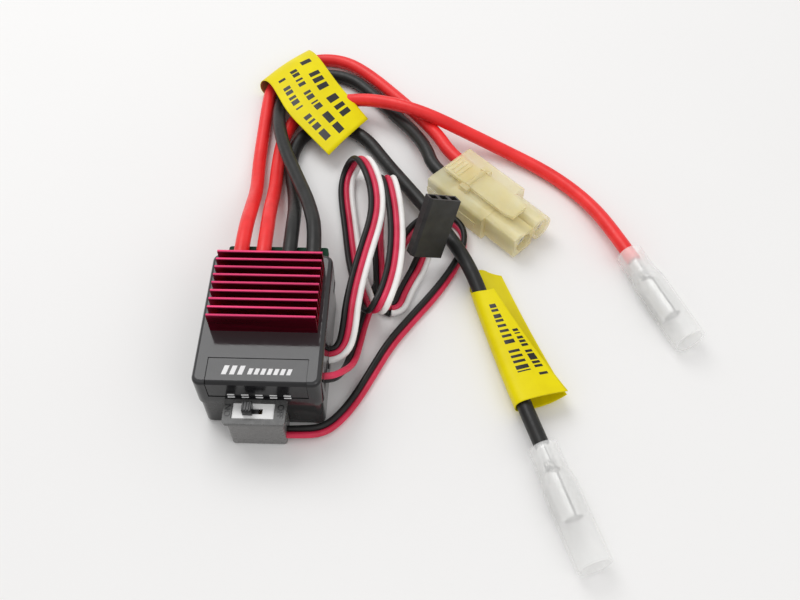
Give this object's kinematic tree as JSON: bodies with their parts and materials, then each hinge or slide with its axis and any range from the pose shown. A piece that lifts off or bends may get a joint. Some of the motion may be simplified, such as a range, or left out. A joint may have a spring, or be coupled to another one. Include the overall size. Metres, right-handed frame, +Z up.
{
  "type": "brushed motor speed controller",
  "caption": "Small electronic speed controller for a model car, with a finned heatsink, slide switch, battery plug, motor leads and a servo lead.",
  "frame": {"origin": "centre of the case and its switch, on the case's flat underside", "axes": "+Z up out of the underside, +Y towards the end where the power wires leave, +X towards the side where the two thin leads leave"},
  "size_m": [0.103, 0.14, 0.0212],
  "materials": {
    "smoke_plastic": "glossy smoked translucent plastic",
    "label_black": "glossy black label",
    "crimson_anodised": "crimson anodised, satin, bright fin edges",
    "thermal_pad": "soft grey pad",
    "green_board": "green solder mask",
    "chip_black": "moulded black epoxy",
    "ceramic": "fired ceramic",
    "tin": "bright tin plate",
    "capacitor_sleeve": "dark shrink sleeve",
    "black_rubber": "soft black",
    "bright_steel": "bright rolled sheet",
    "insulator": "pressed phenolic",
    "brass": "bright",
    "knob_black": "smooth black",
    "red_silicone": "satin red",
    "black_silicone": "satin black",
    "natural_nylon": "natural translucent nylon",
    "clear_sleeve": "clear flexible sleeve",
    "lead_insulation": "satin insulation",
    "connector_black": "moulded black",
    "yellow_film": "printed yellow film"
  },
  "bodies": {
    "controller": {"battery_plug_contacts": "tin", "battery_plug_housing": "natural_nylon", "battery_plug_pivot": "natural_nylon", "battery_wire_black": "black_silicone", "battery_wire_red": "red_silicone", "capacitor_1": "capacitor_sleeve", "capacitor_2": "capacitor_sleeve", "case_base": "smoke_plastic", "case_cover": "smoke_plastic", "circuit_board": "green_board", "controller_chip": "chip_black", "flag_label_battery": "yellow_film", "flag_label_motor": "yellow_film", "heatsink": "crimson_anodised", "label_plate": "label_black", "motor_sleeve_black": "clear_sleeve", "motor_sleeve_red": "clear_sleeve", "motor_terminal_black": "tin", "motor_terminal_red": "tin", "motor_wire_black": "black_silicone", "motor_wire_red": "red_silicone", "power_transistors": "chip_black", "servo_connector": "connector_black", "servo_contacts": "brass", "servo_lead": "lead_insulation", "servo_lead_end": "lead_insulation", "servo_lead_grommet": "black_rubber", "servo_lead_hank": "lead_insulation", "solder_joints": "tin", "surface_parts": "ceramic", "switch_base": "insulator", "switch_frame": "bright_steel", "switch_housing": "smoke_plastic", "switch_lead": "lead_insulation", "switch_lead_grommet": "black_rubber", "switch_terminals": "tin", "thermal_pad": "thermal_pad", "voltage_regulator": "chip_black"},
    "switch_slider": {"switch_knob": "knob_black", "switch_contact": "brass"},
    "plug_latch": {"battery_plug_latch": "natural_nylon"}
  },
  "joints": [
    {"name": "switch_slide", "type": "slide", "parent": "controller", "child": "switch_slider", "axis": [1, 0, 0], "range_m": [0, 0.002]},
    {"name": "plug_latch_press", "type": "hinge", "parent": "controller", "child": "plug_latch", "pos_m": [0.04261, 0.04449, 0.00795], "axis": [-0.7071, -0.7071, 0], "range_deg": [0, 3.5], "stiffness_Nm_per_rad": 0.02}
  ]
}
